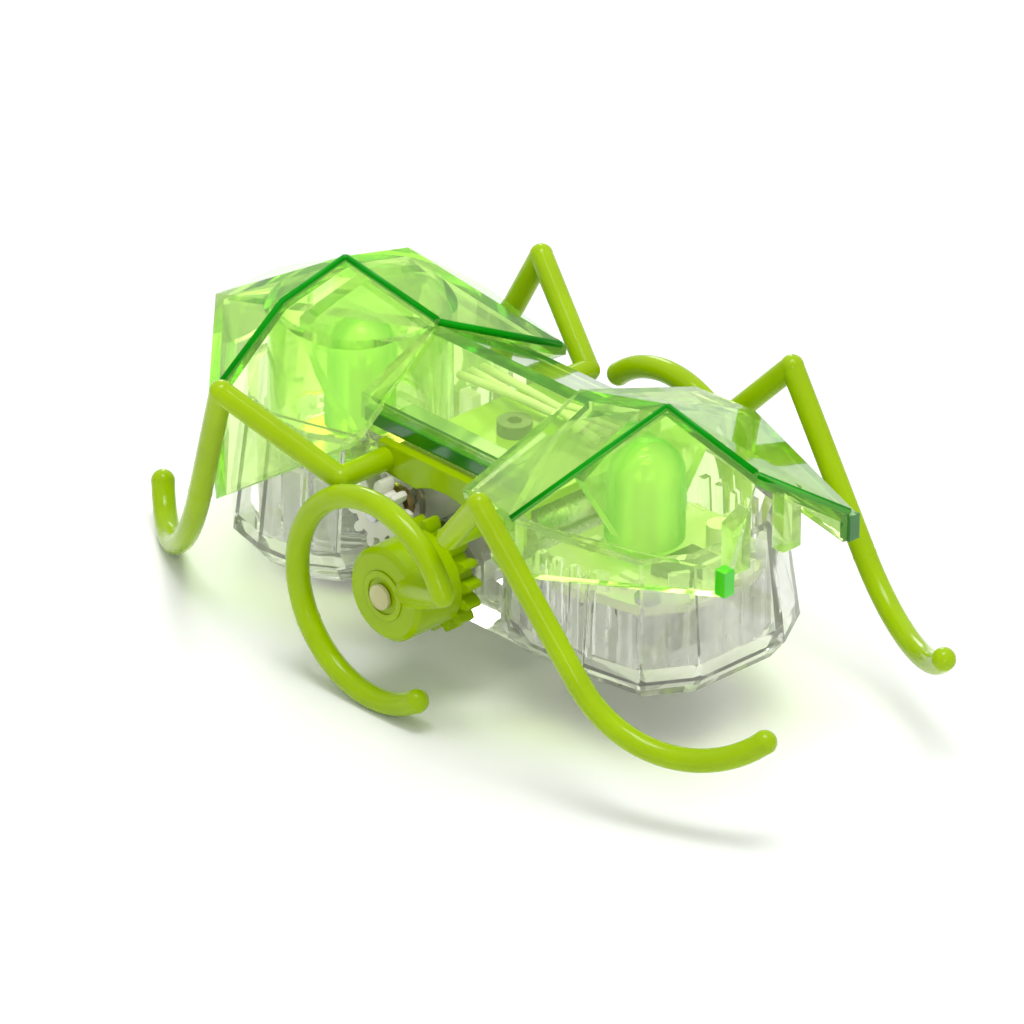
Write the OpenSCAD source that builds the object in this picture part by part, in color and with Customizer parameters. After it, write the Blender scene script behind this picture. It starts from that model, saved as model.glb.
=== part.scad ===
// Six-legged walking toy: clear battery housing, tinted faceted shell, lime legs.
// Front is +X, up is +Z, and Z = 0 is the table under the rear feet.

/* [Overall] */
// Which node to draw
// Facets on small round parts
fine = 32; // [16:4:64]

/* [Legs] */
// Radius of a leg tube
leg_r = 0.9; // [0.7:0.05:1.2]
// Front knee: forward, sideways, up
front_knee = [12.61, 16.09, 21.99];
// Front elbow: forward, sideways, up
front_elbow = [8.15, 14.8, 17.05];
// Straight length under the front knee
front_straight = 15.0; // [12:0.1:18]
// Radius of the front foot bend
front_bend_r = 10.0; // [8:0.1:12]
// Sweep of the front foot bend
front_bend_deg = 95; // [60:1:120]
// Rear knee: forward, sideways, up
rear_knee = [-14.5, 16.49, 21.11];
// Rear elbow: forward, sideways, up
rear_elbow = [-5.6, 12.8, 16.0];
// Straight length under the rear knee
rear_straight = 12.0; // [10:0.1:14]
// Radius and sweep of the rear shin
rear_shin = [18.0, 40.0];
// Radius and sweep of the rear foot
rear_foot = [5.0, 84.0];

/* [Middle legs] */
// Height of the middle leg axle
hub_z = 9.1; // [8:0.05:10]
// Forward position of the middle leg axle
hub_x = 0.6; // [0:0.05:1.5]
// Centre line radius of the curved leg
curl_r = 8.1; // [7.5:0.05:9]
// Sideways position of the curved leg
curl_y = 15.3; // [14.5:0.05:16]
// Radius of the hub
hub_r = 3.7; // [3:0.05:4]
// Angle where the curved leg starts
curl_start = 24; // [0:1:60]
// Sweep of the curved leg
curl_sweep = 282; // [240:1:300]
// Turn of the far middle leg against the near one
far_turn = 186; // [150:1:200]

/* [Gears] */
// Tooth module of the outer gears
mod_out = 0.5; // [0.4:0.05:0.6]
// Tooth module of the inner gears
mod_in = 0.3; // [0.25:0.05:0.4]
// Teeth on a middle leg hub
hub_teeth = 16; // [14:1:20]
// Teeth on an outer pinion
out_teeth = 10; // [9:1:12]
// Teeth on the inner wheels
wheel_teeth = 24; // [20:1:28]
// Teeth on the inner pinions
pinion_teeth = 8; // [8:1:10]
// Backlash taken off each tooth
backlash = 0.05; // [0.02:0.01:0.08]

/* [Housing] */
// Wall of the clear housing
wall = 0.9; // [0.7:0.05:1.2]
// Underside height of the rear lobe
rear_belly = 4.4; // [4:0.1:5]
// Underside height of the front lobe
front_belly = 6.1; // [5.5:0.1:6.5]
// Half width of the waist
waist_y = 7.2; // [6.8:0.05:7.5]
// Top of the waist walls
waist_top = 16.3; // [15.5:0.05:16.4]

/* [Shell] */
// Skin of the tinted shell
skin = 1.0; // [0.8:0.05:1.3]
// Forward position of the front dome
front_dome_x = 13.6; // [12:0.1:15]
// Forward position of the rear dome
rear_dome_x = -16.8; // [-18:0.1:-15]

/* [Electrics] */
// Button cell diameter
cell_d = 11.6; // [11:0.1:12]
// Button cell height
cell_h = 5.4; // [4:0.1:6]
// Motor can diameter
motor_d = 6.0; // [5:0.1:6]
// Motor can length
motor_l = 9.4; // [8:0.1:10]

/* [Hidden] */

lime = [0.66, 0.80, 0.02];
green = [0.35, 0.9, 0.2, 0.5];
clear = [0.9, 0.93, 0.92, 0.4];
steel = [0.72, 0.73, 0.74];
brass = [0.8, 0.62, 0.3];
nylon = [0.93, 0.92, 0.87];
black = [0.07, 0.07, 0.08];
board = [0.05, 0.3, 0.14];

mid_x = 1.783;
foot_z = 0.1;
press_a = 25;
swell = 1.03;
hub_pitch = mod_out * hub_teeth / 2;
out_pitch = mod_out * out_teeth / 2;
wheel_pitch = mod_in * wheel_teeth / 2;
pin_pitch = mod_in * pinion_teeth / 2;
lay_x = hub_x - 5.8;
lay_z = hub_z + sqrt(pow(hub_pitch + out_pitch, 2) - pow(5.8, 2));
idle_x = lay_x + wheel_pitch + pin_pitch;
idle_z = lay_z;
motor_x = idle_x + wheel_pitch + pin_pitch;
motor_z = lay_z;
gear_y = 8.3;
gear_w = 1.4;
lay_r = 0.6;
idler_r = 0.5;
hub_pin_r = 0.75;
run = 0.05;
cell_x = rear_dome_x;
cell_z = rear_belly + 1.45;
board_z = 12.1;
deck_z = 16.45;
deck_t = 0.8;
screw_x = -0.2;
switch_x = 15.5;
door_r = 6.7;

// ---- vectors ----
function unit(v) = v / norm(v);
function spun(a, b, t) = cos(t) * a + sin(t) * b;
function euler(x, y, z) = [atan2(y[2], z[2]), -asin(x[2]), atan2(x[1], x[0])];

// Puts a node in its final place and colour
module seated(tint) {
    translate([-mid_x, 0, -foot_z])
        color(tint)
            children();
}

module along(from, to) {
    d = to - from;
    translate(from)
        rotate([0, acos(d[2] / norm(d)), atan2(d[1], d[0])])
            children();
}

module rod(from, to, r) {
    along(from, to)
        cylinder(h = norm(to - from), r = r, $fn = 20);
}

// Joint balls stand slightly proud so that the exact fuse stays clean
module ball(at, r) {
    translate(at)
        sphere(r = r * swell, $fn = 20);
}

// A joint ball whose poles lie inside the tubes that it joins
module end_ball(r) {
    rotate([0, 90, 0])
        sphere(r = r * swell, $fn = 20);
}

// A tube that runs straight and then bends, in a plane set by a direction and a lean
module bent_leg(at, dir, lean, straight, bends, r) {
    up0 = unit([0, 0, 1] - dir * dir[2]);
    side0 = cross(dir, up0);
    n = spun(up0, side0, lean);
    translate(at)
        rotate(euler(dir, n, cross(dir, n))) {
            rotate([0, 90, 0])
                cylinder(h = straight, r = r, $fn = 20);
            translate([straight, 0, 0]) {
                end_ball(r);
                bend_chain(bends, r);
            }
        }
}

module bend_chain(bends, r) {
    b = bends[0];
    translate([0, b[0], 0])
        rotate([0, 0, -90])
            rotate_extrude(angle = b[1], $fn = 72)
                translate([b[0], 0])
                    circle(r = r, $fn = 20);
    translate([b[0] * sin(b[1]), b[0] * (1 - cos(b[1])), 0])
        rotate([0, 0, b[1]]) {
            end_ball(r);
            if (len(bends) > 1)
                bend_chain([bends[1]], r);
        }
}

// ---- gears ----
function inv_pt(rb, t) = [rb * (cos(t) + t * PI / 180 * sin(t)), rb * (sin(t) - t * PI / 180 * cos(t))];
function turn_pt(p, a) = [p[0] * cos(a) - p[1] * sin(a), p[0] * sin(a) + p[1] * cos(a)];
function inv_at(rb, r) = sqrt(max(0, pow(r / rb, 2) - 1)) * 180 / PI;

module gear_2d(m, z) {
    rp = m * z / 2;
    rb = rp * cos(press_a);
    ra = rp + 0.78 * m;
    rf = rp - 1.1 * m;
    half = 90 / z - backlash / rp / 2 * 180 / PI;
    p0 = inv_pt(rb, inv_at(rb, rp));
    base = -half - atan2(p0[1], p0[0]);
    r0 = max(rb, rf);
    flank = [for (k = [0:4]) turn_pt(inv_pt(rb, inv_at(rb, r0 + (ra - r0) * k / 4)), base)];
    low = rf < rb ? [turn_pt([rf, 0], base)] : [];
    right = concat(low, flank);
    left = [for (k = [len(right) - 1:-1:0]) [right[k][0], -right[k][1]]];
    tooth = concat(right, left);
    polygon([for (i = [0:z - 1]) for (p = tooth) turn_pt(p, 360 * i / z)]);
}

// A gear lying in the XZ plane, from y to y + w, turned by a at rest
module gear_y(m, z, w, a) {
    rotate([90, 0, 0])
        translate([0, 0, -w])
            linear_extrude(height = w)
                rotate([0, 0, a])
                    gear_2d(m, z);
}

module disc_y(r, w) {
    rotate([-90, 0, 0])
        cylinder(h = w, r = r, $fn = 48);
}

// ---- leg frame ----
module side_legs() {
    rod([front_elbow[0], 7.6, front_elbow[2]], front_elbow, leg_r);
    ball(front_elbow, leg_r);
    rod(front_elbow, front_knee, leg_r);
    ball(front_knee, leg_r);
    bent_leg(front_knee, dir_of(51.8, -5.1, 1), 18.8, front_straight,
        [[front_bend_r, front_bend_deg]], leg_r);
    rod([rear_elbow[0], 7.6, rear_elbow[2]], rear_elbow, leg_r);
    ball(rear_elbow, leg_r);
    rod(rear_elbow, rear_knee, leg_r);
    ball(rear_knee, leg_r);
    bent_leg(rear_knee, dir_of(67.1, -10.3, -1), -9.6, rear_straight,
        [rear_shin, rear_foot], leg_r);
}

function dir_of(down, out, fwd) = [fwd * cos(down) * cos(out), sin(out), -sin(down) * cos(out)];

module leg_frame() {
    plate = [[-6.5, 14.9], [-6.5, 17.2], [9.1, 17.2], [9.1, 14.3], [7.2, 14.0]];
    seated(lime) {
        for (s = [0, 1])
            mirror([0, s, 0]) {
                side_legs();
                difference() {
                    translate([0, 8.1, 0])
                        rotate([90, 0, 0])
                            linear_extrude(height = 0.8)
                                polygon(plate);
                    translate([hub_x, 7, hub_z])
                        disc_y(6.3, 2);
                }
            }
        difference() {
            translate([-5, -7.5, deck_z])
                cube([13.6, 15, 0.75]);
            translate([screw_x, 0, deck_z - 1])
                cylinder(h = 3, r = 0.75, $fn = fine);
        }
    }
}

// ---- faceted skins: outer points, outer faces and the open rim make a closed skin ----
function fnorm(p, f) = unit(cross(p[f[2]] - p[f[0]], p[f[1]] - p[f[0]]));
function fmid(p, f) = (p[f[0]] + p[f[1]] + p[f[2]]) / 3;
function facing(p, f, c) = fnorm(p, f) * (fmid(p, f) - c) > 0 ? f : [f[0], f[2], f[1]];
function has(f, i) = f[0] == i || f[1] == i || f[2] == i;
function total(v, i = 0) = i >= len(v) - 1 ? v[i] : v[i] + total(v, i + 1);
function inset(p, fs, i, t) =
    let (ns = [for (f = fs) if (has(f, i)) fnorm(p, f)], n = unit(total(ns)))
        p[i] - n * t * len(ns) / total([for (m = ns) m * n]);
function flipped(f, nc, ns) = [for (i = f) i < nc ? i : i + ns];

module skin_of(centre, side, tris, cross_tris, loop, t, ref) {
    nc = len(centre);
    ns = len(side);
    p = concat(centre, side, [for (q = side) [q[0], -q[1], q[2]]]);
    all = concat(tris, cross_tris, [for (f = tris) flipped(f, nc, ns)]);
    fs = [for (f = all) facing(p, f, ref)];
    q = [for (i = [0:len(p) - 1]) inset(p, fs, i, t)];
    n = len(p);
    rim = concat(loop, [for (k = [len(loop) - 1:-1:0]) if (loop[k] >= nc) loop[k] + ns]);
    polyhedron(points = concat(p, q),
        faces = concat(fs, [for (f = fs) [f[0] + n, f[2] + n, f[1] + n]], rim_faces(rim, fs, n)),
        convexity = 8);
}

function runs(f, a, b) = (f[0] == a && f[1] == b) || (f[1] == a && f[2] == b) || (f[2] == a && f[0] == b);
function any_runs(fs, a, b) = len([for (f = fs) if (runs(f, a, b)) 1]) > 0;
function rim_faces(rim, fs, n) =
    [for (k = [0:len(rim) - 1]) for (h = [0, 1])
        let (i = rim[k], j = rim[(k + 1) % len(rim)], fw = any_runs(fs, i, j), a = fw ? j : i, b = fw ? i : j)
            h == 0 ? [a, b, b + n] : [a, b + n, a + n]];

rear_centre = [[-8.4, 0, 23.6], [-18.6, 0, 25.2]];
rear_side = [[-5.9, 10.9, 18.6], [-18.6, 14, 18.2], [-29.2, 3.4, 19.3], [-18.6, 6.5, 23.7],
    [-5.9, 10.75, 17.9], [-18.6, 13.2, 9.4], [-28.6, 3.3, 15.0]];
rear_tris = [[0, 1, 5], [0, 5, 2], [2, 5, 3], [1, 5, 4], [5, 3, 4], [2, 3, 7], [2, 7, 6], [3, 4, 8], [3, 8, 7]];
rear_cross = [[1, 4, 11], [4, 11, 15], [4, 15, 8]];
rear_loop = [0, 2, 6, 7, 8];

front_centre = [[6.6, 0, 23.5], [15.7, 0, 25.7], [25.2, 0, 23.6]];
front_side = [[6.6, 12, 19.5], [12, 12.8, 19.3], [28.8, 6.65, 19.3], [6.8, 11.95, 18.7],
    [9.7, 12.3, 18.6], [10.1, 12.4, 15.3], [12, 12.7, 14.6], [28.7, 6.6, 17.1]];
front_tris = [[0, 1, 4], [0, 4, 3], [1, 2, 5], [1, 5, 4], [3, 6, 7], [3, 7, 4], [7, 8, 4], [8, 9, 4],
    [4, 5, 10], [4, 10, 9]];
front_loop = [0, 3, 6, 7, 8, 9, 10, 5, 2];

module dome(at, low, top, r) {
    translate([at, 0, 0]) {
        translate([0, 0, low])
            cylinder(h = top - r - low, r = r, $fn = 48);
        translate([0, 0, top - r])
            sphere(r = r, $fn = 48);
    }
}

module gusset(at, prof, t) {
    translate([at - t / 2, 0, 0])
        rotate([90, 0, 90])
            linear_extrude(height = t)
                polygon(prof);
}

module shell_skins() {
    skin_of(rear_centre, rear_side, rear_tris, rear_cross, rear_loop, skin, [-17, 0, 14]);
    skin_of(front_centre, front_side, front_tris, [], front_loop, skin, [16, 0, 14]);
    translate([-9.2, 0, 0])
        rotate([90, 0, 90])
            linear_extrude(height = 16.9)
                polygon([[-7.2, 17.6], [-7.2, 19.6], [0, 23.2], [7.2, 19.6], [7.2, 17.6],
                    [6.2, 17.6], [6.2, 19.0], [0, 22.1], [-6.2, 19.0], [-6.2, 17.6]]);
}

module shell() {
    seated(green)
        difference() {
            union() {
                shell_skins();
                dome(front_dome_x, 13.9, 21.8, 3.0);
                dome(rear_dome_x, 12.3, 20.8, 2.6);
                gusset(front_dome_x, [[-2.4, 14], [-7.3, 21.6], [0, 24.8], [7.3, 21.6], [2.4, 14]], 1);
                gusset(rear_dome_x, [[-2, 13], [-5.9, 21.4], [-5.9, 22.6], [0, 24.3], [5.9, 22.6], [5.9, 21.4], [2, 13]], 1);
                for (s = [-1, 1])
                    translate([25.0, 2.6 * s - 0.9, 16.8])
                        cube([1.2, 1.8, 4.9]);
                tube_wall();
            }
            dome(front_dome_x, 10, 20.9, 2.1);
            dome(rear_dome_x, 10, 19.9, 1.7);
        }
}

// Hanging tube wall round the rear dome, with one slot at the back
module tube_wall() {
    difference() {
        translate([rear_dome_x, 0, 12.3])
            cylinder(h = 9.6, r = 7.0, $fn = 72);
        translate([rear_dome_x, 0, 12])
            cylinder(h = 12, r = 6.2, $fn = 72);
        translate([rear_dome_x - 8, 0.8, 17])
            cube([4, 2.2, 8]);
    }
}

// ---- housing ----
// A tray lobe lofted through three rings; each ring is [half outline, height]
function ring3(half, z) = [for (q = concat(half, [for (k = [len(half) - 1:-1:0]) if (half[k][1] > 0.01)
    [half[k][0], -half[k][1]]])) [q[0], q[1], z]];

module loft(halves, zs) {
    rings = [for (k = [0:len(zs) - 1]) ring3(halves[k], zs[k])];
    n = len(rings[0]);
    pts = [for (r = rings) for (q = r) q];
    top = (len(zs) - 1) * n;
    polyhedron(points = pts, convexity = 4, faces = concat(
        [[for (k = [0:n - 1]) k]],
        [[for (k = [n - 1:-1:0]) top + k]],
        [for (r = [0:len(zs) - 2]) for (k = [0:n - 1]) for (h = [0, 1])
            h == 0 ? [r * n + k, r * n + n + k, r * n + (k + 1) % n]
                : [r * n + (k + 1) % n, r * n + n + k, r * n + n + (k + 1) % n]]));
}

rear_low = [[-8.9, 6.6], [-9.6, 8.9], [-11.8, 10.3], [-15.4, 10.6], [-18.6, 9.8], [-23.9, 5.0], [-25.2, 2.6]];
rear_mid = [[-8.7, 7.2], [-9.3, 9.7], [-11.6, 11.4], [-15.6, 11.8], [-19.2, 10.9], [-25.0, 5.6], [-26.3, 2.9]];
rear_top = [[-8.7, 7.2], [-9.5, 8.8], [-12.2, 10.0], [-15.8, 10.3], [-19.0, 9.5], [-24.2, 4.6], [-25.2, 2.5]];
front_low = [[22.9, 3.9], [20.8, 7.3], [14.8, 8.2], [10.0, 8.6], [8.2, 7.9], [7.4, 6.4]];
front_mid = [[24.0, 4.3], [21.6, 8.3], [14.9, 9.6], [9.6, 10.0], [7.4, 8.8], [7.0, 7.2]];
front_top = [[22.9, 4.0], [20.6, 7.4], [14.4, 9.0], [9.7, 9.4], [7.6, 8.4], [7.0, 7.2]];

function shrunk(half, c, d) = [for (q = half) let (v = [q[0] - c, q[1]], k = 1 - d / norm(v))
    [c + v[0] * k, v[1] * k]];

module rear_lobe(d, lift) {
    loft([shrunk(rear_low, -17, d), shrunk(rear_mid, -17, d), shrunk(rear_top, -17, d)],
        [rear_belly + lift, rear_belly + 1.5 + lift, 16.0 + lift * 2]);
}

module front_lobe(d, lift) {
    loft([shrunk(front_low, 15, d), shrunk(front_mid, 15, d), shrunk(front_top, 15, d)],
        [front_belly + lift, front_belly + 1.5 + lift, 17.0 + lift * 2]);
}

module waist_block(d, low, high) {
    translate([-9.6 - d, d - waist_y, low])
        cube([17.6 + 2 * d, 2 * (waist_y - d), high - low]);
}

module housing() {
    seated(clear)
        difference() {
            union() {
                difference() {
                    union() {
                        rear_lobe(0, 0);
                        front_lobe(0, 0);
                        waist_block(0, 5.2, waist_top);
                    }
                    rear_lobe(wall * 1.15, wall);
                    front_lobe(wall * 1.15, wall);
                    translate([-12, wall - waist_y, 7.0])
                        cube([22, 2 * (waist_y - wall), 12]);
                }
                housing_ribs();
            }
            housing_holes();
        }
}

// Bosses, wells and ribs inside the tray
module housing_ribs() {
    translate([cell_x, 0, rear_belly])
        cylinder(h = 6.9, r = cell_d / 2 + 0.95, $fn = 72);
    translate([cell_x, 0, rear_belly])
        cylinder(h = 1.6, r = door_r + 1.5, $fn = 72);
    for (s = [-1, 1]) {
        translate([hub_x, s * waist_y - (s > 0 ? 1.4 : 0), hub_z])
            disc_y(1.6, 1.4);
        translate([lay_x, s * waist_y - (s > 0 ? 1.5 : 0), lay_z])
            disc_y(1.9, 1.5);
    }
    translate([-1.8, -2.2, 13.4])
        cube([2.9, waist_y + 1.6, waist_top - 13.4]);
    for (s = [-1, 1]) {
        translate([19.4, s * 5.4, front_belly + 0.4])
            cylinder(h = board_z - front_belly - 0.4, r = 1.2, $fn = fine);
        translate([10.2, s * 6.6, front_belly + 0.4])
            cylinder(h = board_z - front_belly - 0.4, r = 1.2, $fn = fine);
    }
    for (x = [11.6, 13.2, 14.8, 16.4])
        for (s = [-1, 1])
            translate([x - 0.3, s * 8.55 - 0.75, front_belly + 1])
                cube([0.6, 1.5, 8]);
    translate([motor_x - 2.6, -3.4, 6.4])
        cube([5.2, 7.2, 1.6]);
}

module housing_holes() {
    translate([cell_x, 0, rear_belly - 1])
        cylinder(h = 2.35, r = door_r, $fn = 72);
    translate([cell_x, 0, rear_belly + 0.55])
        cylinder(h = 0.5, r = door_r + 0.75, $fn = 72);
    translate([cell_x, 0, rear_belly])
        cylinder(h = 20, r = cell_d / 2 + 0.08, $fn = 72);
    for (s = [0, 180])
        translate([cell_x, 0, rear_belly - 1])
            rotate([0, 0, s + 30])
                rotate_extrude(angle = 30, $fn = 72)
                    translate([door_r - 0.4, 0])
                        square([1.1, 1.9]);
    for (s = [-1, 1]) {
        translate([hub_x, s * 6 - 3, hub_z])
            disc_y(hub_pin_r, 6);
        translate([lay_x, s * 6 - 3, lay_z])
            disc_y(1.1, 6);
    }
    translate([idle_x, -8, idle_z])
        disc_y(idler_r, 16);
    translate([screw_x, 0, 12])
        cylinder(h = 6, r = 0.55, $fn = fine);
    translate([switch_x - 2.2, -0.7, front_belly - 1])
        cube([4.4, 1.4, 3]);
    translate([motor_x, -3.6, motor_z])
        disc_y(motor_d / 2 + 0.02, 8.0);
    for (s = [-1, 1]) {
        translate([6.9, s * 8.2 - 1.9, 13.8])
            cube([2.4, 3.8, 5]);
        translate([19.4, s * 5.4, 8])
            cylinder(h = 6, r = 0.45, $fn = fine);
        translate([10.2, s * 6.6, 8])
            cylinder(h = 6, r = 0.45, $fn = fine);
    }
}

// ---- middle legs ----
// The curved leg is swept in a few arcs, with a ball at each end of each arc
module wheg(turn, tooth, arcs) {
    step = curl_sweep / arcs;
    difference() {
        union() {
            translate([0, gear_y, 0])
                gear_y(mod_out, hub_teeth, gear_w, tooth);
            translate([0, gear_y + gear_w, 0])
                disc_y(hub_r, 4.2);
            translate([0, gear_y + gear_w + 4.2, 0])
                rotate([-90, 0, 0])
                    cylinder(h = 0.35, r1 = hub_r, r2 = hub_r - 0.35, $fn = 48);
            rotate([0, -turn - curl_start, 0])
                rod_cone([1.2, 12.2, 0], [curl_r, curl_y, 0], 2.0, leg_r);
            for (h = [0:arcs])
                rotate([0, -turn - curl_start - h * step, 0])
                    ball([curl_r, curl_y, 0], leg_r);
            for (h = [0:arcs - 1])
                translate([0, curl_y, 0])
                    rotate([90, 0, 0])
                        rotate([0, 0, turn + curl_start + h * step])
                            rotate_extrude(angle = step, $fn = 120)
                                translate([curl_r, 0])
                                    circle(r = leg_r, $fn = fine);
        }
        translate([0, 5, 0])
            disc_y(hub_pin_r + run, 12);
    }
}

module rod_cone(from, to, r1, r2) {
    along(from, to)
        cylinder(h = norm(to - from), r1 = r1, r2 = r2, $fn = fine);
}

lay_dir = atan2(lay_z - hub_z, lay_x - hub_x);
hub_tooth = lay_dir + 180 / hub_teeth;
out_tooth = lay_dir + 180;

module wheg_near() {
    seated(lime)
        translate([hub_x, 0, hub_z])
            mirror([0, 1, 0])
                wheg(0, hub_tooth, 3);
}

module wheg_far() {
    seated(lime)
        translate([hub_x, 0, hub_z])
            wheg(far_turn, hub_tooth, 2);
}

module hub_pins() {
    seated(steel)
        for (s = [0, 1])
            mirror([0, s, 0]) {
                translate([hub_x, 5.8, hub_z])
                    disc_y(hub_pin_r, 8.75);
                translate([hub_x, 14.4, hub_z])
                    disc_y(1.0, 0.3);
            }
}

// ---- gear train ----
module layshaft() {
    seated(steel)
        translate([lay_x, -10.0, lay_z])
            disc_y(lay_r, 20.0);
}

module lay_bushes() {
    seated(brass)
        for (s = [0, 1])
            mirror([0, s, 0])
                translate([lay_x, 5.7, lay_z])
                    difference() {
                        union() {
                            disc_y(1.1, 1.8);
                            translate([0, 1.5, 0])
                                disc_y(1.7, 0.4);
                        }
                        translate([0, -1, 0])
                            disc_y(lay_r + run, 4);
                    }
}

module bored_gear(m, z, w, a, r) {
    difference() {
        gear_y(m, z, w, a);
        translate([0, -1, 0])
            disc_y(r, w + 2);
    }
}

module lay_wheel() {
    seated(nylon)
        translate([lay_x, -4.5, lay_z])
            bored_gear(mod_in, wheel_teeth, 1.0, 180 / wheel_teeth, lay_r);
}

module pinion_near() {
    seated(nylon)
        translate([lay_x, -gear_y - gear_w, lay_z])
            bored_gear(mod_out, out_teeth, gear_w, out_tooth, lay_r);
}

module pinion_far() {
    seated(nylon)
        translate([lay_x, gear_y, lay_z])
            bored_gear(mod_out, out_teeth, gear_w, out_tooth, lay_r);
}

module idler_gear() {
    seated(nylon)
        translate([idle_x, -5.5, idle_z])
            difference() {
                union() {
                    gear_y(mod_in, wheel_teeth, 0.8, 180 / wheel_teeth);
                    translate([0, 0.8, 0])
                        gear_y(mod_in, pinion_teeth, 1.6, 180);
                }
                translate([0, -1, 0])
                    disc_y(idler_r + run, 5);
            }
}

module idler_pin() {
    seated(steel)
        translate([idle_x, -waist_y, idle_z])
            disc_y(idler_r, 2 * waist_y);
}

// ---- motor ----
module motor_can() {
    seated(steel)
        translate([motor_x, -4.2, motor_z])
            difference() {
                union() {
                    disc_y(motor_d / 2, motor_l);
                    translate([0, -0.25, 0])
                        disc_y(1.0, 0.3);
                }
                translate([0, -1, 0])
                    disc_y(0.4, 3.7);
            }
}

module motor_end() {
    seated(nylon)
        translate([motor_x, motor_l - 4.2, motor_z])
            difference() {
                disc_y(motor_d / 2 - 0.2, 0.5);
                translate([-0.5, -1, 1.6])
                    cube([1, 3, 2]);
            }
}

module motor_shaft() {
    seated(steel)
        translate([motor_x, -5.7, motor_z])
            disc_y(0.35, 4.0);
}

module motor_pinion() {
    seated(brass)
        translate([motor_x, -5.55, motor_z])
            bored_gear(mod_in, pinion_teeth, 1.0, 180, 0.35);
}

// ---- electrics ----
board_half = [[8.8, 7.3], [14.2, 7.7], [19.6, 6.4], [21.4, 3.6]];
board_top = board_z + 0.8;
post_at = [[19.4, 5.4], [10.2, 6.6]];

module circuit_board() {
    seated(board)
        difference() {
            translate([0, 0, board_z])
                linear_extrude(height = 0.8)
                    polygon(concat(board_half, [for (k = [3:-1:0]) [board_half[k][0], -board_half[k][1]]]));
            for (p = post_at)
                for (s = [-1, 1])
                    translate([p[0], s * p[1], board_z - 1])
                        cylinder(h = 3, r = 0.5, $fn = fine);
        }
}

module control_chip() {
    seated(black)
        translate([16.6, -2.0, board_top]) {
            translate([0, 0, 0.1])
                cube([3.0, 4.0, 0.65]);
            for (k = [0:3])
                for (s = [-0.35, 3.0])
                    translate([s, 0.4 + 0.95 * k, 0])
                        cube([0.35, 0.35, 0.3]);
        }
}

module board_parts() {
    seated(brass) {
        translate([17.2, 4.2, board_top])
            cylinder(h = 1.9, r = 1.0, $fn = fine);
        for (y = [-4.2, -5.4])
            translate([15.6, y, board_top])
                cube([1.6, 0.7, 0.5]);
        translate([10.4, -3.4, board_top])
            cube([0.7, 1.6, 0.5]);
    }
}

// A close-wound wire coil on a pin, drawn as one turned outline
module coil(turns, r, w, pitch) {
    rotate_extrude($fn = 40)
        polygon(concat([[0, 0]],
            [for (k = [0:turns - 1]) for (q = [0, 1, 2, 3])
                [r + [0, w, w, 0][q], pitch * (k + [0, 0.25, 0.75, 1][q] * 0.98)]],
            [[0, pitch * turns]]));
}

module sensor_front() {
    seated(steel)
        translate([front_dome_x, 0, board_top]) {
            coil(15, 0.7, 0.3, 0.4);
            cylinder(h = 7.0, r = 0.35, $fn = fine);
        }
}

module sensor_rear() {
    seated(steel)
        translate([cell_x, 0, cell_z + cell_h + 0.2]) {
            coil(15, 0.65, 0.28, 0.4);
            cylinder(h = 7.2, r = 0.35, $fn = fine);
        }
}

module switch_body() {
    seated(black)
        difference() {
            translate([switch_x - 3, -1.8, front_belly + wall + 0.05])
                cube([6, 3.6, 2.4]);
            translate([switch_x - 2.3, -0.75, front_belly])
                cube([4.6, 1.5, 2.4]);
        }
}

module switch_knob() {
    seated(black)
        translate([switch_x - 2.05, -0.6, front_belly - 0.7])
            cube([1.6, 1.2, 2.9]);
}

module button_cell() {
    seated(steel)
        translate([cell_x, 0, cell_z]) {
            cylinder(h = cell_h - 0.5, r = cell_d / 2, $fn = 72);
            translate([0, 0, cell_h - 0.5])
                cylinder(h = 0.5, r1 = cell_d / 2, r2 = cell_d / 2 - 0.7, $fn = 72);
        }
}

module top_contact() {
    seated(brass)
        translate([cell_x, 0, cell_z + cell_h])
            difference() {
                cylinder(h = 0.2, r = 4.4, $fn = 60);
                for (a = [0, 120, 240])
                    rotate([0, 0, a])
                        translate([1.8, -0.5, -1])
                            cube([2.0, 1.0, 3]);
            }
}

module battery_door() {
    seated(clear)
        translate([cell_x, 0, rear_belly])
            difference() {
                union() {
                    cylinder(h = 0.9, r = door_r - 0.08, $fn = 72);
                    for (a = [-3, 177])
                        rotate([0, 0, a])
                            translate([0, 0, 0.6])
                                rotate_extrude(angle = 22, $fn = 72)
                                    square([door_r + 0.65, 0.3]);
                }
                translate([-3.4, -0.6, -1])
                    cube([6.8, 1.2, 1.4]);
            }
}

module door_contact() {
    seated(brass)
        translate([cell_x, 0, rear_belly + 0.9]) {
            cylinder(h = 0.2, r = 4.0, $fn = 60);
            cylinder(h = cell_z - rear_belly - 0.9, r = 1.1, $fn = fine);
        }
}

module wire(path, r) {
    for (p = path)
        ball(p, r);
    for (k = [0:len(path) - 2])
        rod(path[k], path[k + 1], r);
}

module motor_leads() {
    seated([0.8, 0.1, 0.08])
        wire([[5.3, 5.98, 13.4], [6.9, 6.0, 15.3], [9.6, 5.0, 14.9], [9.9, 4.6, 13.15]], 0.24);
    seated([0.8, 0.1, 0.08])
        wire([[3.4, 5.98, 13.6], [4.3, 6.0, 15.8], [8.4, 3.6, 15.7], [9.9, 2.8, 13.15]], 0.24);
}

module cell_leads() {
    seated(black) {
        wire([[-13.4, 1.6, 11.7], [-9.6, 4.8, 11.9], [-8.9, 5.4, 8.2], [8.3, 5.4, 7.7], [8.3, 5.2, 13.4],
            [9.4, 5.6, 13.15]], 0.22);
    }
}

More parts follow.
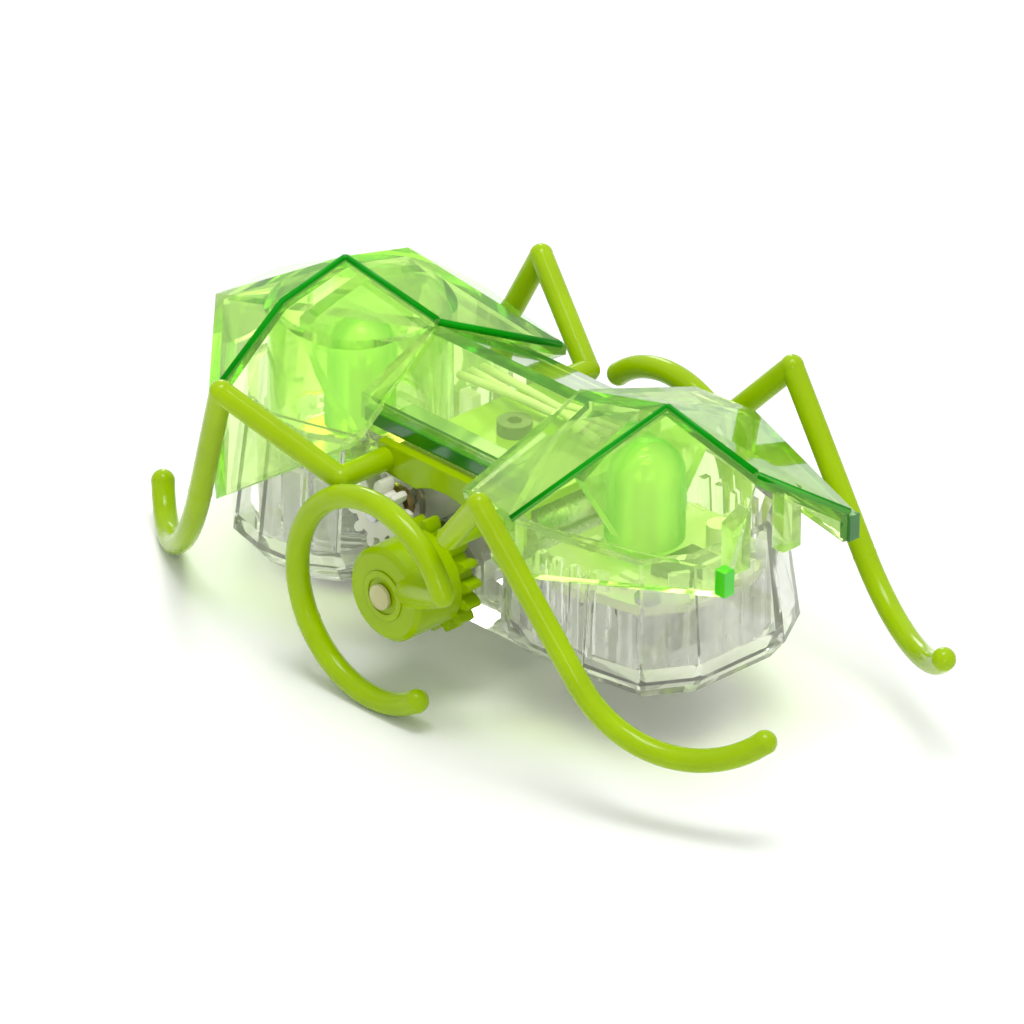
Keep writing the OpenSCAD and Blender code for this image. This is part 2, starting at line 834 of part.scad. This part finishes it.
module frame_screw() {
    seated(black)
        translate([screw_x, 0, 0])
            difference() {
                union() {
                    translate([0, 0, 13.8])
                        cylinder(h = deck_z - 13.8 + 0.9, r = 0.55, $fn = fine);
                    translate([0, 0, deck_z + 0.75])
                        cylinder(h = 1.0, r = 1.35, $fn = fine);
                }
                translate([0, 0, deck_z + 1.2])
                    cylinder(h = 2, r = 0.6, $fn = 6);
            }
}

module body_screws() {
    seated(steel)
        for (p = post_at)
            for (s = [-1, 1])
                translate([p[0], s * p[1], board_z - 2.5]) {
                    cylinder(h = 3.4, r = 0.45, $fn = fine);
                    translate([0, 0, 3.3])
                        cylinder(h = 0.5, r = 0.85, $fn = fine);
                }
}

housing();
leg_frame();
shell();
frame_screw();
hub_pins();
lay_bushes();
wheg_near();
wheg_far();
layshaft();
lay_wheel();
pinion_near();
pinion_far();
idler_gear();
idler_pin();
motor_can();
motor_end();
motor_shaft();
motor_pinion();
circuit_board();
control_chip();
board_parts();
sensor_front();
sensor_rear();
switch_body();
switch_knob();
button_cell();
top_contact();
battery_door();
door_contact();
motor_leads();
cell_leads();
body_screws();
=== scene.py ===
import math
import random

import bpy
from mathutils import Matrix, Vector


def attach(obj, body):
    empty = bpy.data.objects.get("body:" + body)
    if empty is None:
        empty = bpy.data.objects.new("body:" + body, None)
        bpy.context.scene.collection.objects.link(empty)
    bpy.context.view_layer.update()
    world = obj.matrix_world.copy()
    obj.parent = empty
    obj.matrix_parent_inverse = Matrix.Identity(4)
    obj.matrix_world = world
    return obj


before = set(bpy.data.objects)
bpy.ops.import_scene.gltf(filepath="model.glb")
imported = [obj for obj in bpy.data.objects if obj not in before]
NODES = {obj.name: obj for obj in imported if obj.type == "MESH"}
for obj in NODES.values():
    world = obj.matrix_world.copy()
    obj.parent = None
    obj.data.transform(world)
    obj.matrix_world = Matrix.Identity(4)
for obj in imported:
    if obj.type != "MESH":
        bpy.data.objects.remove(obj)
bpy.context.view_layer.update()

MM = 0.001
MID_X, FOOT_Z = 1.783, 0.1  # where the frame's origin lies, in the design's own millimetres
WHITE = (1, 1, 1, 1)


def P(x, y, z):
    """A point given in the design's millimetres, as metres in the frame."""
    return Vector(((x - MID_X) * MM, y * MM, (z - FOOT_Z) * MM))


def lin(r, g, b):
    """An 8-bit display colour as a linear one."""
    out = []
    for v in (r, g, b):
        v /= 255.0
        out.append(v / 12.92 if v <= 0.04045 else ((v + 0.055) / 1.055) ** 2.4)
    return (*out, 1.0)


# ---- materials ----
# noise scales are per metre, bump depths and edge radii are in metres
GRAIN, GRAIN_DEPTH = 2500.0, 0.0002
EDGE_RADIUS = 0.00012
SECOND_TONE = 0.86  # the mottling's darker colour, when none is given
COAT_ROUGH = 0.12
SCATTER, SCATTER_SCALE = (0.6, 1.0, 0.15), 0.0012
WAVES, WAVE_DEPTH = 160.0, 0.001
CLEAR_ROUGH_NOISE, MILK_NOISE = 420.0, 300.0
MILK_LOW, MILK_HIGH = 0.6, 1.4
SHEEN_IOR, SHEEN_ROUGH = 1.5, 0.06
# a painted glow given to the cloudy plastic of the domes
HAZE_PAINTED_GLOW = 0.06
HAZE_SHADOW = 0.1


class Tree:
    """A small helper that adds nodes to one material and links them."""

    def __init__(self, name):
        self.mat = bpy.data.materials.new(name)
        self.mat.use_nodes = True
        self.nt = self.mat.node_tree
        self.nt.nodes.clear()
        self.out = self.nt.nodes.new("ShaderNodeOutputMaterial")

    def add(self, kind, **inputs):
        node = self.nt.nodes.new(kind)
        for key, value in inputs.items():
            self.put(node, key.replace("_", " "), value)
        return node

    def put(self, node, key, value):
        """Sets or links an input, named by its label or by its number as text."""
        socket = node.inputs[int(key)] if key.isdigit() else node.inputs[key]
        if isinstance(value, bpy.types.NodeSocket):
            self.nt.links.new(value, socket)
        else:
            socket.default_value = value

    def noise(self, scale, detail=3.0):
        coord = self.add("ShaderNodeTexCoord")
        node = self.add("ShaderNodeTexNoise", Scale=scale, Detail=detail, Roughness=0.55)
        self.put(node, "Vector", coord.outputs["Object"])
        return node.outputs["Fac"]

    def ramp(self, value, low, high, frm=0.3, to=0.7):
        node = self.add("ShaderNodeMapRange", From_Min=frm, From_Max=to, To_Min=low, To_Max=high)
        self.put(node, "Value", value)
        return node.outputs["Result"]

    def maths(self, operation, a, b):
        node = self.nt.nodes.new("ShaderNodeMath")
        node.operation = operation
        self.put(node, "0", a)
        self.put(node, "1", b)
        return node.outputs["Value"]

    def mix_rgb(self, fac, a, b):
        node = self.nt.nodes.new("ShaderNodeMix")
        node.data_type = "RGBA"
        for key, value in (("0", fac), ("6", a), ("7", b)):
            self.put(node, key, value)
        return node.outputs[2]

    def bump(self, height, strength, distance, normal=None):
        node = self.add("ShaderNodeBump", Strength=strength, Distance=distance)
        self.put(node, "Height", height)
        if normal is not None:
            self.put(node, "Normal", normal)
        return node.outputs["Normal"]

    def rounded(self, radius):
        node = self.add("ShaderNodeBevel", Radius=radius)
        node.samples = 4
        return node.outputs["Normal"]

    def join(self, fac, a, b):
        node = self.nt.nodes.new("ShaderNodeMixShader")
        for key, value in (("0", fac), ("1", a), ("2", b)):
            self.put(node, key, value)
        return node.outputs["Shader"]

    def done(self, shader, volume=None):
        self.nt.links.new(shader, self.out.inputs["Surface"])
        if volume is not None:
            self.nt.links.new(volume, self.out.inputs["Volume"])
        return self.mat


def opaque(name, colour, second=None, rough=(0.25, 0.35), metal=0.0, coat=0.0, sss=0.0,
           blot=220.0, bump=0.05, edge=EDGE_RADIUS, ior=1.5):
    """Solid plastic, metal or paint: mottled colour, uneven gloss, fine grain, rounded edges."""
    t = Tree(name)
    second = second or tuple(c * SECOND_TONE for c in colour[:3]) + (1.0,)
    base = t.mix_rgb(t.ramp(t.noise(blot), 0.0, 1.0), colour, second)
    normal = t.bump(t.noise(GRAIN, detail=4.0), bump, GRAIN_DEPTH, t.rounded(edge))
    b = t.add("ShaderNodeBsdfPrincipled", Base_Color=base, Metallic=metal, IOR=ior, Normal=normal,
              Roughness=t.ramp(t.noise(blot * 2.3), rough[0], rough[1]),
              Coat_Weight=coat, Coat_Roughness=COAT_ROUGH)
    if sss:
        t.put(b, "Subsurface Weight", sss)
        t.put(b, "Subsurface Radius", SCATTER)
        t.put(b, "Subsurface Scale", SCATTER_SCALE)
    return t.done(b.outputs["BSDF"])


def glassy(name, absorb, milk, milk_and_glow_colour, tint=WHITE, rough=(0.0, 0.03), shadow=WHITE,
           ior=1.49, wave=0.02, painted_glow=0.0, sheen=0.0):
    """Clear moulded plastic: it bends light, tints it with depth, has a little haze, and can carry a
    painted glow in its haze colour.

    absorb is the loss per metre in red, green and blue; milk is the share of haze at its surface."""
    t = Tree(name)
    normal = t.bump(t.noise(WAVES, detail=2.0), wave, WAVE_DEPTH)
    # the emission is a painted glow in the haze colour, not a lamp
    g = t.add("ShaderNodeBsdfPrincipled", Base_Color=tint, IOR=ior, Normal=normal,
              Roughness=t.ramp(t.noise(CLEAR_ROUGH_NOISE), rough[0], rough[1]),
              Transmission_Weight=1.0, Emission_Color=milk_and_glow_colour, Emission_Strength=painted_glow)
    haze = t.add("ShaderNodeBsdfDiffuse", Color=milk_and_glow_colour)
    veil = t.add("ShaderNodeBsdfTranslucent", Color=milk_and_glow_colour)
    soft = t.join(0.5, haze.outputs["BSDF"], veil.outputs["BSDF"])
    share = t.ramp(t.noise(MILK_NOISE), milk * MILK_LOW, milk * MILK_HIGH)
    body = t.join(share, g.outputs["BSDF"], soft)
    if sheen:
        fresnel = t.add("ShaderNodeFresnel", IOR=SHEEN_IOR)
        mirror = t.add("ShaderNodeBsdfGlossy", Roughness=SHEEN_ROUGH, Normal=normal)
        body = t.join(t.maths("MULTIPLY", fresnel.outputs["Fac"], sheen), body, mirror.outputs["BSDF"])
    # light and soft bounces go straight through, so that the shadows stay pale
    ray = t.add("ShaderNodeLightPath")
    straight = t.maths("MAXIMUM", ray.outputs["Is Shadow Ray"], ray.outputs["Is Diffuse Ray"])
    see = t.add("ShaderNodeBsdfTransparent", Color=shadow)
    surface = t.join(straight, body, see.outputs["BSDF"])
    volume = None
    if absorb:
        top = max(absorb)
        v = t.add("ShaderNodeVolumeAbsorption", Density=top,
                  Color=tuple(1 - a / top for a in absorb) + (1.0,))
        volume = v.outputs["Volume"]
    return t.done(surface, volume)


def haze_and_painted_light(name, face_on, side_shade, behind, cover):
    """Cloudy tinted plastic with painted light: pale where it is seen square on, a painted deep shade
    along its sides, and a faint painted glow.
    """
    t = Tree(name)
    slope = t.add("ShaderNodeLayerWeight", Blend=0.35)
    # painted shade: the colour deepens as the surface turns away from view
    tone = t.mix_rgb(t.ramp(slope.outputs["Facing"], 0.0, 1.0, 0.1, 0.6), face_on, side_shade)
    # the same tone is also given as emission, a painted glow
    b = t.add("ShaderNodeBsdfPrincipled", Base_Color=tone, Roughness=t.ramp(t.noise(500.0), 0.08, 0.16),
              Normal=t.bump(t.noise(900.0), 0.02, GRAIN_DEPTH),
              Emission_Color=tone, Emission_Strength=HAZE_PAINTED_GLOW)
    see = t.add("ShaderNodeBsdfTransparent", Color=behind)
    ray = t.add("ShaderNodeLightPath")
    solid = t.ramp(ray.outputs["Is Shadow Ray"], cover, HAZE_SHADOW, 0.0, 1.0)
    return t.done(t.join(solid, see.outputs["BSDF"], b.outputs["BSDF"]))


M = {
    "lime": opaque("lime_plastic", lin(156, 190, 0), lin(146, 178, 0), (0.13, 0.18), coat=0.1,
                   sss=0.05, bump=0.015, edge=0.00015, ior=1.26),
    # the green shell carries a faint painted glow
    "green": glassy("green_clear", (115.0, 8.0, 430.0), milk=0.06, milk_and_glow_colour=lin(190, 250, 120),
                    ior=1.13, painted_glow=0.09, sheen=0.7),
    # the domes' sleeves: a painted glow and painted shade along their sides
    "dome": haze_and_painted_light("green_haze_and_painted_glow", lin(206, 236, 140), lin(50, 182, 0), behind=lin(214, 250, 170), cover=0.5),
    "clear": glassy("clear_plastic", (16.0, 14.0, 22.0), milk=0.09, milk_and_glow_colour=lin(242, 243, 240),
                    rough=(0.0, 0.06), shadow=(0.96, 0.96, 0.95, 1), wave=0.05),
    "rib": glassy("clear_ribs", None, milk=0.34, milk_and_glow_colour=lin(246, 246, 242), tint=lin(250, 250, 250),
                  rough=(0.02, 0.1), shadow=(0.97, 0.97, 0.96, 1), wave=0.05),
    # painted shade: dark green for the strips along the shell's creases
    "edge": opaque("green_crease_painted_shade", lin(2, 146, 4), lin(0, 126, 2), (0.4, 0.5), bump=0.02, ior=1.15),
    # painted shade: dark green for the bands, the sheet and the far tab, where shade falls
    "deep": opaque("green_deep_painted_shade", lin(4, 118, 4), lin(2, 88, 2), (0.08, 0.16), coat=0.5, bump=0.02),
    # painted light: bright green for the near corner tab, as if lit
    "tab": opaque("green_tab_painted_lit", lin(70, 215, 20), lin(50, 195, 10), (0.1, 0.2), coat=0.4, bump=0.02),
    "steel": opaque("steel", (0.52, 0.53, 0.54, 1), rough=(0.18, 0.34), metal=1.0, blot=600.0),
    "brass": opaque("brass", (0.72, 0.52, 0.24, 1), rough=(0.2, 0.38), metal=1.0, blot=600.0),
    "nylon": opaque("nylon", lin(236, 235, 226), lin(222, 220, 208), (0.35, 0.5), sss=0.15),
    "black": opaque("black_plastic", lin(10, 18, 12), lin(5, 9, 6), (0.3, 0.5), bump=0.08),
    "board": opaque("board_pale", lin(206, 214, 170), lin(188, 198, 150), (0.3, 0.45), coat=0.4),
    "red": opaque("lead_red", lin(196, 30, 24), lin(150, 18, 14), (0.35, 0.5)),
    "cream": opaque("pin_cream", lin(206, 206, 150), lin(176, 174, 118), (0.3, 0.5)),
}

LOOK = {
    "housing": "clear", "leg_frame": "lime", "shell": "green", "frame_screw": "black",
    "hub_pins": "cream", "lay_bushes": "brass", "wheg_near": "lime", "wheg_far": "lime",
    "layshaft": "steel", "lay_wheel": "nylon", "pinion_near": "nylon", "pinion_far": "nylon",
    "idler_gear": "nylon", "idler_pin": "steel", "motor_can": "steel", "motor_end": "nylon",
    "motor_shaft": "steel", "motor_pinion": "brass", "circuit_board": "board",
    "control_chip": "black", "board_parts": "nylon", "sensor_front": "steel",
    "sensor_rear": "steel", "switch_body": "black", "switch_knob": "black",
    "button_cell": "steel", "top_contact": "brass", "battery_door": "clear",
    "door_contact": "brass", "motor_leads": "red", "cell_leads": "black", "body_screws": "steel",
}
for node_name, look in LOOK.items():
    materials = NODES[node_name].data.materials
    materials.clear()
    materials.append(M[look])

# the shell's sharp edges are eased by modifiers, which leave its own mesh alone
WELD_GAP, EDGE_WIDTH, EDGE_ANGLE = 0.01, 0.1, 12
weld = NODES["shell"].modifiers.new("weld", "WELD")
weld.merge_threshold = WELD_GAP * MM
bevel = NODES["shell"].modifiers.new("bevel", "BEVEL")
bevel.width = EDGE_WIDTH * MM
bevel.segments = 2
bevel.limit_method = "ANGLE"
bevel.angle_limit = math.radians(EDGE_ANGLE)
bevel.use_clamp_overlap = True


# ---- shapes ----
TUBE_SIDES = 8


def piece(name, verts, faces, mat, body, smooth=False):
    """Makes one object of a vertex and face list and fixes it to a body."""
    mesh = bpy.data.meshes.new(name)
    mesh.from_pydata([tuple(v) for v in verts], [], faces)
    mesh.update()
    mesh.materials.append(M[mat])
    for p in mesh.polygons:
        p.use_smooth = smooth
    ob = bpy.data.objects.new(name, mesh)
    bpy.context.scene.collection.objects.link(ob)
    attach(ob, body)


def tube(verts, faces, path, radius):
    """Adds a closed tube along a path of points to a vertex and face list."""
    base, n, sides = len(verts), len(path), TUBE_SIDES
    for k, p in enumerate(path):
        d = (path[min(k + 1, n - 1)] - path[max(k - 1, 0)]).normalized()
        side = d.cross(Vector((0, 0, 1))).normalized()
        top = side.cross(d).normalized()
        for j in range(sides):
            a = 2 * math.pi * j / sides
            verts.append(p + side * (radius * math.cos(a)) + top * (radius * math.sin(a)))
    for k in range(n - 1):
        for j in range(sides):
            a, b = base + k * sides + j, base + k * sides + (j + 1) % sides
            faces.append((a, b, b + sides, a + sides))
    faces.append(tuple(base + j for j in reversed(range(sides))))
    faces.append(tuple(base + (n - 1) * sides + j for j in range(sides)))


def block(verts, faces, centre, size, turn=0.0):
    """Adds an upright box, its size in millimetres and turned about Z, to a vertex and face list."""
    base = len(verts)
    size = Vector(size) * MM
    c, s = math.cos(turn), math.sin(turn)
    for k in range(8):
        x = (0.5 if k & 1 else -0.5) * size[0]
        y = (0.5 if k & 2 else -0.5) * size[1]
        z = (0.5 if k & 4 else -0.5) * size[2]
        verts.append(centre + Vector((c * x - s * y, s * x + c * y, z)))
    for f in ((0, 2, 3, 1), (4, 5, 7, 6), (0, 1, 5, 4), (2, 6, 7, 3), (0, 4, 6, 2), (1, 3, 7, 5)):
        faces.append(tuple(base + i for i in f))


def strips(name, runs, radius, mat, body):
    """One piece of several tubes, each along a run of points."""
    verts, faces = [], []
    for run in runs:
        tube(verts, faces, [P(*p) for p in run], radius * MM)
    piece(name, verts, faces, mat, body, smooth=True)


def bullet(name, x, low, top, r, n=40, steps=10):
    """A round-nosed thin sleeve standing inside a dome of the shell."""
    verts, faces = [], []
    rings = [(low, r)]
    for k in range(steps):
        a = math.radians(k * 90 / steps)
        rings.append((top - r + r * math.sin(a), r * math.cos(a)))
    for z, q in rings:
        for j in range(n):
            a = 2 * math.pi * j / n
            verts.append(P(x + q * math.cos(a), q * math.sin(a), z))
    verts.append(P(x, 0, top))
    for k in range(len(rings) - 1):
        for j in range(n):
            a, b = k * n + j, k * n + (j + 1) % n
            faces.append((a, b, b + n, a + n))
    last = (len(rings) - 1) * n
    faces += [(last + j, last + (j + 1) % n, len(verts) - 1) for j in range(n)]
    piece(name, verts, faces, "dome", "shell", smooth=True)


def ring(verts, faces, centre, outer, inner, rise, side, sunk_in=0.1, n=36):
    """Adds a raised flat ring on a face whose normal is the side's Y direction."""
    base = len(verts)
    for j in range(n):
        a = 2 * math.pi * j / n
        for r, h in ((outer, -sunk_in), (outer, rise), (inner, rise), (inner, -sunk_in)):
            verts.append(P(centre[0] + r * math.cos(a), centre[1] + side * h, centre[2] + r * math.sin(a)))
    for j in range(n):
        near, far = base + 4 * j, base + 4 * ((j + 1) % n)
        for k in range(4):
            k2 = (k + 1) % 4
            faces.append((near + k, near + k2, far + k2, far + k))


# ---- ribs inside the clear housing ----
# half outlines of the two lobes, seen from above
REAR = [(-9.6, 9.3), (-11.7, 10.8), (-15.5, 11.1), (-19.1, 10.2), (-24.6, 5.2), (-25.8, 2.7), (-25.8, 0)]
FRONT = [(23.4, 0), (23.4, 4.1), (21.1, 7.8), (14.8, 9.0), (9.8, 9.5)]
RIB_INSET, RIB_STEP = 2.1, 2.6
random.seed(11)


def ribs(name, half, centre_x, low, high):
    """Upright ribs spaced along a lobe's half outline and its mirror image."""
    verts, faces = [], []
    for s in (-1, 1):
        for start, end in zip(half, half[1:]):
            start, end = Vector((start[0], s * start[1])), Vector((end[0], s * end[1]))
            d = end - start
            n = max(1, round(d.length / RIB_STEP))
            for k in range(n):
                q = start + d * ((k + 0.5) / n)
                q += (Vector((centre_x, 0)) - q).normalized() * RIB_INSET
                tall = (high - low) * random.uniform(0.55, 1.0)
                size = (random.uniform(0.9, 2.4), random.uniform(0.4, 0.9), tall)
                block(verts, faces, P(q.x, q.y, low + tall / 2), size, math.atan2(d.y, d.x))
    piece(name, verts, faces, "rib", "chassis")


ribs("rear_ribs", REAR, centre_x=-17, low=5.6, high=14.2)
ribs("front_ribs", FRONT, centre_x=15, low=7.4, high=15.4)

# ---- painted shade along the shell's creases, and the cloudy domes with a painted glow ----
REAR_MID, FRONT_MID = Vector((-17, 0, 14)), Vector((16, 0, 14))
CREASE_DEPTH = 0.12


def sunk(points, centre):
    """Moves the points of a crease a little way towards a centre."""
    return [tuple(Vector(p) + (centre - Vector(p)).normalized() * CREASE_DEPTH) for p in points]


# painted shade: dark green rods along the shell's creases, where the folds look dark
strips("rear_crease_painted_shade", [
    sunk([(-18.6, 0, 25.2), (-18.6, -6.5, 23.7), (-18.6, -13.7, 18.3)], REAR_MID),
    sunk([(-8.6, 0, 23.6), (-18.6, 0, 25.2)], REAR_MID),
    sunk([(-8.4, 0, 23.5), (-6.2, 10.6, 18.7)], REAR_MID),
], 0.3, "edge", "shell")
strips("front_crease_painted_shade", [
    sunk([(15.7, 0, 25.6), (12.1, -12.5, 19.3)], FRONT_MID),
    sunk([(15.7, 0, 25.6), (25.0, 0, 23.6)], FRONT_MID),
    sunk([(25.0, 0, 23.5), (28.4, 6.4, 19.4)], FRONT_MID),
], 0.28, "edge", "shell")

# painted shade: dark bands along the waist rim on both sides
verts, faces = [], []
for side in (-1, 1):
    block(verts, faces, P(-0.7, 6.9 * side, 18.2), (16.0, 0.8, 1.1))
piece("waist_band_painted_shade", verts, faces, "deep", "shell")

# solid tabs at the front corners: the near one painted bright as if lit, the far one dark green as painted
# shade
for side, name, mat in ((-1, "corner_tab_near", "tab"), (1, "corner_tab_far", "deep")):
    verts, faces = [], []
    block(verts, faces, P(28.3, 6.45 * side, 18.2), (1.0, 1.0, 2.0))
    piece(name, verts, faces, mat, "shell")

# sleeves in the domes, with a painted glow and painted side shade
bullet("front_dome_haze_and_glow", x=13.6, low=14.0, top=21.84, r=3.03)
bullet("rear_dome_haze_and_glow", x=-16.8, low=12.5, top=20.84, r=2.63)

# ---- the waist ----
# ribs outside the gear train
WAIST_RIBS, WAIST_RIB_STEP, WAIST_FLOOR = 11, 1.5, 7.05
verts, faces = [], []
for side in (-1, 1):
    for k in range(WAIST_RIBS):
        tall = random.uniform(1.6, 3.4)
        size = (random.uniform(0.4, 0.9), random.uniform(0.3, 0.55), tall)
        block(verts, faces, P(-8.0 + WAIST_RIB_STEP * k, 5.75 * side, WAIST_FLOOR + tall / 2), size)
piece("waist_ribs", verts, faces, "rib", "chassis")

# painted shade: a dark green sheet on the near half of the deck, where shade falls
verts, faces = [], []
block(verts, faces, P(-2.2, -4.3, 17.27), (12.6, 3.6, 0.12))
piece("deck_painted_shade", verts, faces, "deep", "chassis")

# rings moulded on the hub faces
for side, body, name in ((-1, "near_leg", "hub_ring_near"), (1, "far_leg", "hub_ring_far")):
    verts, faces = [], []
    ring(verts, faces, (0.6, 14.25 * side, 9.1), outer=2.0, inner=1.45, rise=0.12, side=side)
    piece(name, verts, faces, "lime", body)

# pale leads lying on the deck
strips("deck_leads", [
    [(-8.6, 3.6, 17.9), (-5.5, 2.9, 18.3), (-2.0, 2.6, 18.3), (2.0, 3.0, 18.1), (6.0, 4.0, 17.9)],
    [(-8.6, 2.4, 18.0), (-5.0, 1.9, 18.6), (-1.0, 2.2, 18.7), (3.0, 2.6, 18.4), (6.2, 2.4, 18.0)],
    [(-8.6, 4.8, 17.8), (-4.5, 4.3, 18.1), (0.5, 3.9, 18.1), (5.8, 5.0, 17.8)],
], 0.34, "nylon", "chassis")

# ---- floor ----
FLOOR_HALF, FLOOR_DROP = 3, 0.00001
WHITEN_FROM, WHITEN_TO = 0.12, 0.6  # metres from the toy


def floor_material():
    """White paper that fades to plain white away from the toy."""
    t = Tree("paper_white")
    tone = t.mix_rgb(t.ramp(t.noise(9.0), 0.0, 1.0), (0.93, 0.93, 0.92, 1), (0.9, 0.9, 0.89, 1))
    b = t.add("ShaderNodeBsdfPrincipled", Base_Color=tone, Roughness=0.6, Specular_IOR_Level=0.2,
              Normal=t.bump(t.noise(1400.0), 0.02, GRAIN_DEPTH))
    coord = t.add("ShaderNodeTexCoord")
    away = t.nt.nodes.new("ShaderNodeVectorMath")
    away.operation = "LENGTH"
    t.put(away, "0", coord.outputs["Object"])
    plain = t.add("ShaderNodeEmission", Color=WHITE, Strength=1.0)
    fade = t.ramp(away.outputs["Value"], 0.0, 1.0, WHITEN_FROM, WHITEN_TO)
    paper = t.join(fade, b.outputs["BSDF"], plain.outputs["Emission"])
    # see-through from underneath, so that the underside of the toy can be looked at
    under = t.add("ShaderNodeNewGeometry")
    clear = t.add("ShaderNodeBsdfTransparent")
    return t.done(t.join(under.outputs["Backfacing"], paper, clear.outputs["BSDF"]))


floor_mesh = bpy.data.meshes.new("floor")
corners = [(FLOOR_HALF * x, FLOOR_HALF * y, 0) for x, y in ((-1, -1), (1, -1), (1, 1), (-1, 1))]
floor_mesh.from_pydata(corners, [], [(0, 1, 2, 3)])
floor_mesh.materials.append(floor_material())
floor = bpy.data.objects.new("floor", floor_mesh)
bpy.context.scene.collection.objects.link(floor)
floor.location.z = -FLOOR_DROP

# ---- world ----
BACKDROP = 1.05  # what the camera sees, directly and through the clear parts
ROOM = 0.78  # the soft light that falls on everything
MIRRORED_WALL = (-0.70, 0.68, 0.22)  # the way to the bright wall that only reflections see
WALL_DIM, WALL_BRIGHT = 0.8, 1.05

world = bpy.data.worlds.new("studio")
bpy.context.scene.world = world
world.use_nodes = True
nodes, links = world.node_tree.nodes, world.node_tree.links
nodes.clear()
ray = nodes.new("ShaderNodeLightPath")
coord = nodes.new("ShaderNodeTexCoord")
bright = nodes.new("ShaderNodeBackground")
bright.inputs["Color"].default_value = WHITE
bright.inputs["Strength"].default_value = BACKDROP

# the room: darker towards the floor, lighter overhead
studio = nodes.new("ShaderNodeBackground")
split = nodes.new("ShaderNodeSeparateXYZ")
shade = nodes.new("ShaderNodeValToRGB")
links.new(coord.outputs["Generated"], split.inputs["Vector"])
links.new(split.outputs["Z"], shade.inputs["Fac"])
stops = shade.color_ramp.elements
stops[0].position, stops[0].color = 0.0, (0.55, 0.56, 0.57, 1)
stops[1].position, stops[1].color = 0.75, WHITE
stops.new(0.3).color = (0.72, 0.73, 0.74, 1)
links.new(shade.outputs["Color"], studio.inputs["Color"])

# reflections see a bright wall on one side
behind = nodes.new("ShaderNodeVectorMath")
behind.operation = "DOT_PRODUCT"
behind.inputs[1].default_value = MIRRORED_WALL
links.new(coord.outputs["Generated"], behind.inputs[0])
wall = nodes.new("ShaderNodeMapRange")
for key, v in (("From Min", 0.2), ("From Max", 0.8), ("To Min", WALL_DIM), ("To Max", WALL_BRIGHT)):
    wall.inputs[key].default_value = v
links.new(behind.outputs["Value"], wall.inputs["Value"])
strength = nodes.new("ShaderNodeMix")
strength.inputs[2].default_value = ROOM
links.new(ray.outputs["Is Glossy Ray"], strength.inputs[0])
links.new(wall.outputs["Result"], strength.inputs[3])
links.new(strength.outputs[0], studio.inputs["Strength"])

seen = nodes.new("ShaderNodeMath")
seen.operation = "MAXIMUM"
links.new(ray.outputs["Is Camera Ray"], seen.inputs[0])
links.new(ray.outputs["Is Transmission Ray"], seen.inputs[1])
pick = nodes.new("ShaderNodeMixShader")
links.new(seen.outputs["Value"], pick.inputs["Fac"])
links.new(studio.outputs["Background"], pick.inputs[1])
links.new(bright.outputs["Background"], pick.inputs[2])
links.new(pick.outputs["Shader"], nodes.new("ShaderNodeOutputWorld").inputs["Surface"])

# ---- lights: place, size and watts ----
LIGHTS = {
    "key": ((0.06, -0.05, 0.55), (0.26, 0.20), 1.75),
    "rim": ((-0.35, 0.30, 0.22), (0.10, 0.22), 0.5),
    "fill": ((0.40, -0.30, 0.20), (0.12, 0.10), 0.25),
}
LIT = Vector((0, 0, 0.01))
for name, (at, size, power) in LIGHTS.items():
    data = bpy.data.lights.new(name, "AREA")
    data.shape = "RECTANGLE"
    data.size, data.size_y = size
    data.energy = power
    light = bpy.data.objects.new(name, data)
    light.location = at
    light.rotation_euler = (LIT - Vector(at)).to_track_quat("-Z", "Y").to_euler()
    bpy.context.scene.collection.objects.link(light)

# ---- camera ----
AZ, EL, ROLL = math.radians(-44.235), math.radians(27.769), math.radians(0.551)
DISTANCE, AIM = 1.0, Vector((-0.002262, 0.0, 0.010441))
cam_data = bpy.data.cameras.new("camera")
cam_data.sensor_width = 36.0
cam_data.lens = 472.62
cam_data.clip_start, cam_data.clip_end = 0.01, 20.0
cam = bpy.data.objects.new("camera", cam_data)
back = Vector((math.cos(EL) * math.cos(AZ), math.cos(EL) * math.sin(AZ), math.sin(EL)))
spin = (-back).to_track_quat("-Z", "Y").to_matrix().to_4x4()
cam.matrix_world = Matrix.Translation(AIM + back * DISTANCE) @ spin @ Matrix.Rotation(ROLL, 4, "Z")
bpy.context.scene.collection.objects.link(cam)
bpy.context.scene.camera = cam
bpy.context.scene.view_settings.view_transform = "Standard"
